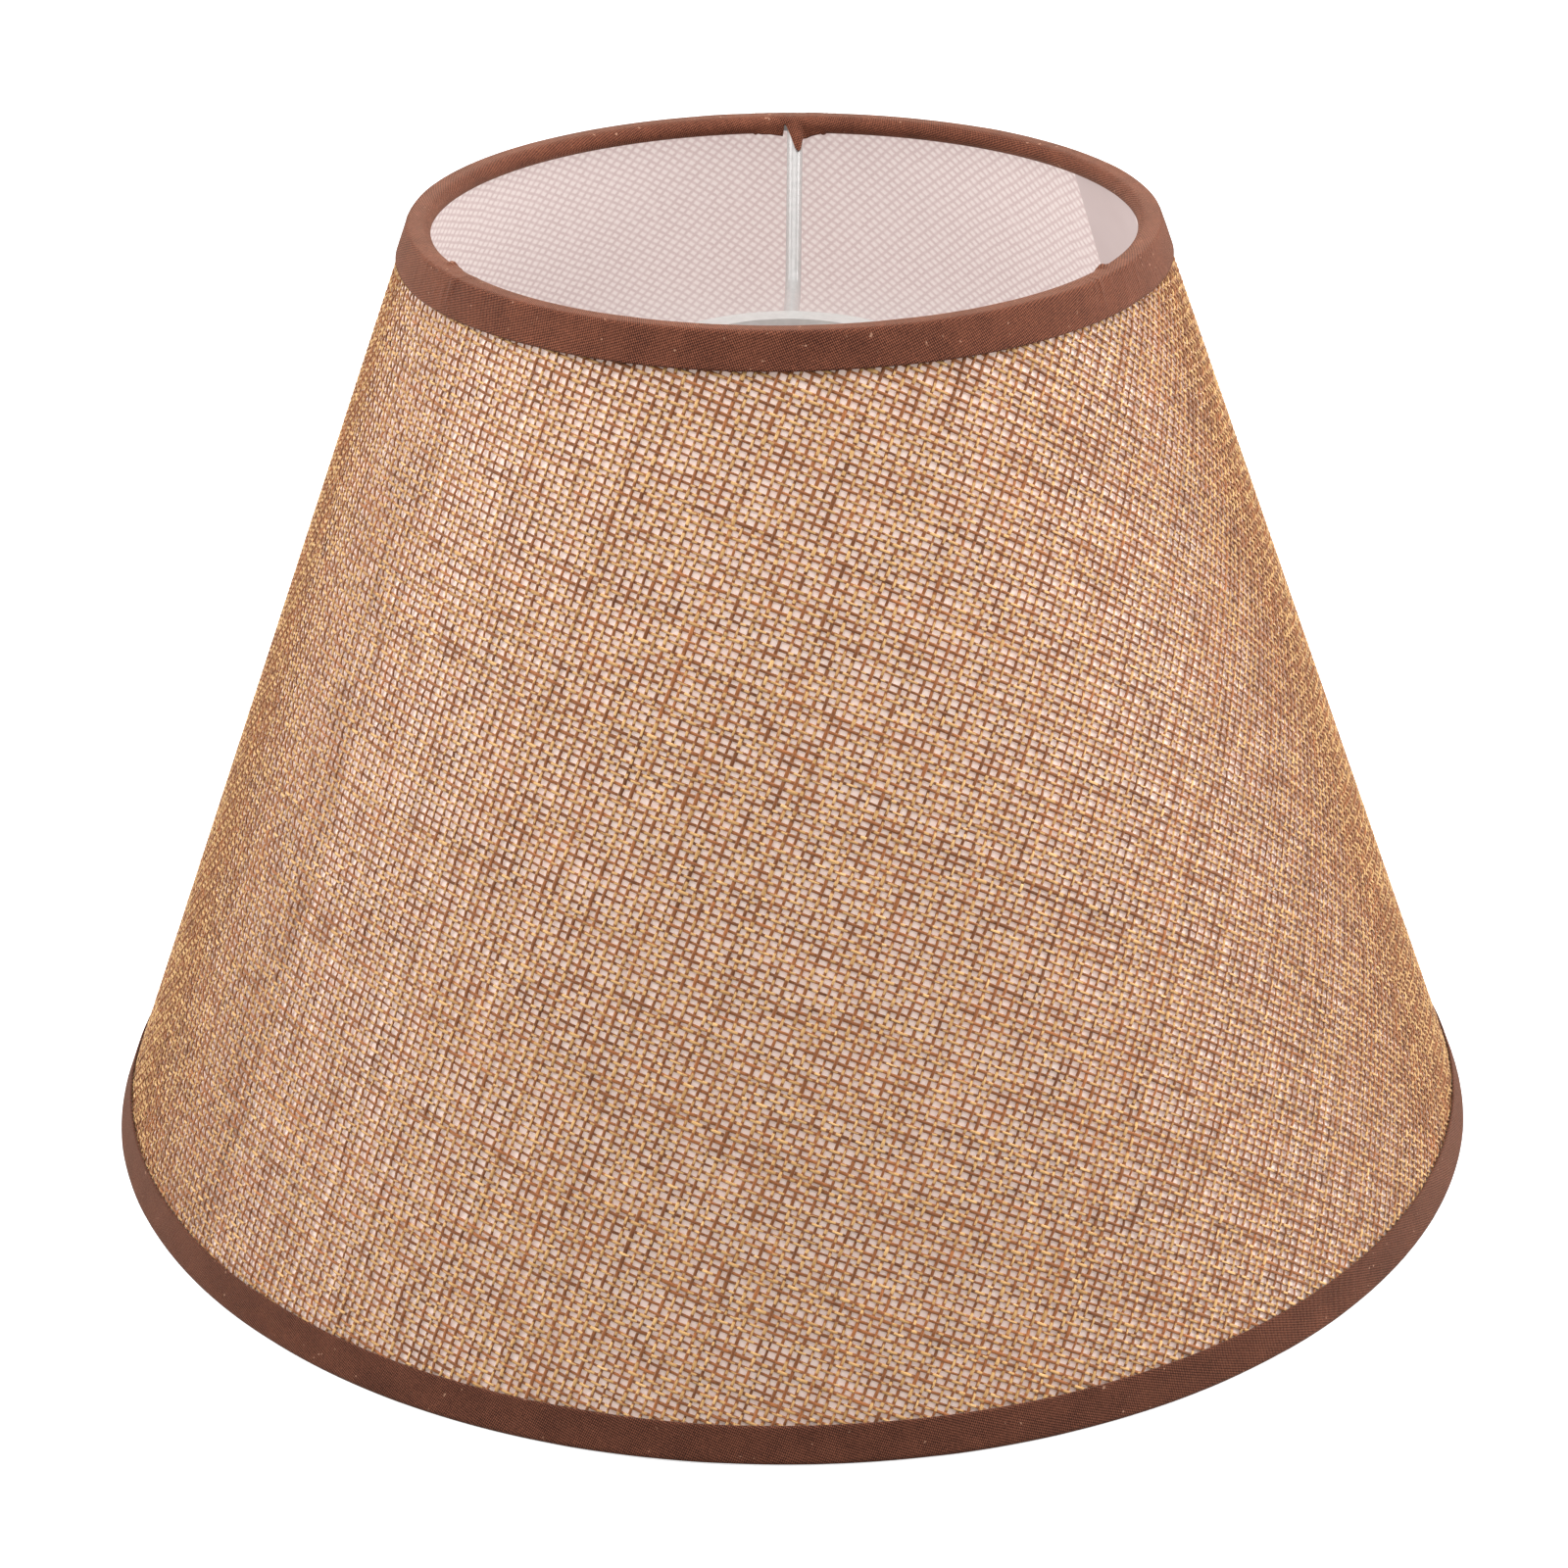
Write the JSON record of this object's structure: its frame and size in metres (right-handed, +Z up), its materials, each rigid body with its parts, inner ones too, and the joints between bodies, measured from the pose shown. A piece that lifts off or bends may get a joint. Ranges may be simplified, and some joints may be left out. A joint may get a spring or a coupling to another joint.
{
  "type": "lamp shade",
  "caption": "Conical hardback lamp shade with an open woven cover, bound rims and a recessed wire fitter.",
  "frame": {"origin": "centre of the bottom rim, on the plane that the shade stands on", "axes": "+Z up along the shade's axis, rear fitter arm on +Y, front on -Y, lap seam at 36.5 degrees from +X towards +Y"},
  "size_m": [0.2618, 0.2618, 0.174],
  "materials": {
    "hoop_wire": "white-coated drawn steel wire, hidden under the bindings",
    "white_coated_steel": "smooth white coating over welded steel wire and washer",
    "hardback": "thin translucent off-white sheet, faintly pink",
    "woven_cover": "open plain weave of thin uneven red-brown and tan yarns",
    "seam_tape": "clear double-sided adhesive film",
    "bias_tape": "brown fine-woven bias tape, slightly fuzzy"
  },
  "bodies": {
    "root": {"top_hoop_wire": "hoop_wire", "bottom_hoop_wire": "hoop_wire", "rear_fitter_arm": "white_coated_steel", "left_fitter_arm": "white_coated_steel", "right_fitter_arm": "white_coated_steel", "fitter_washer": "white_coated_steel", "backing_panel": "hardback", "seam_tape": "seam_tape", "fabric_cover": "woven_cover", "top_binding": "bias_tape", "bottom_binding": "bias_tape"}
  },
  "joints": []
}
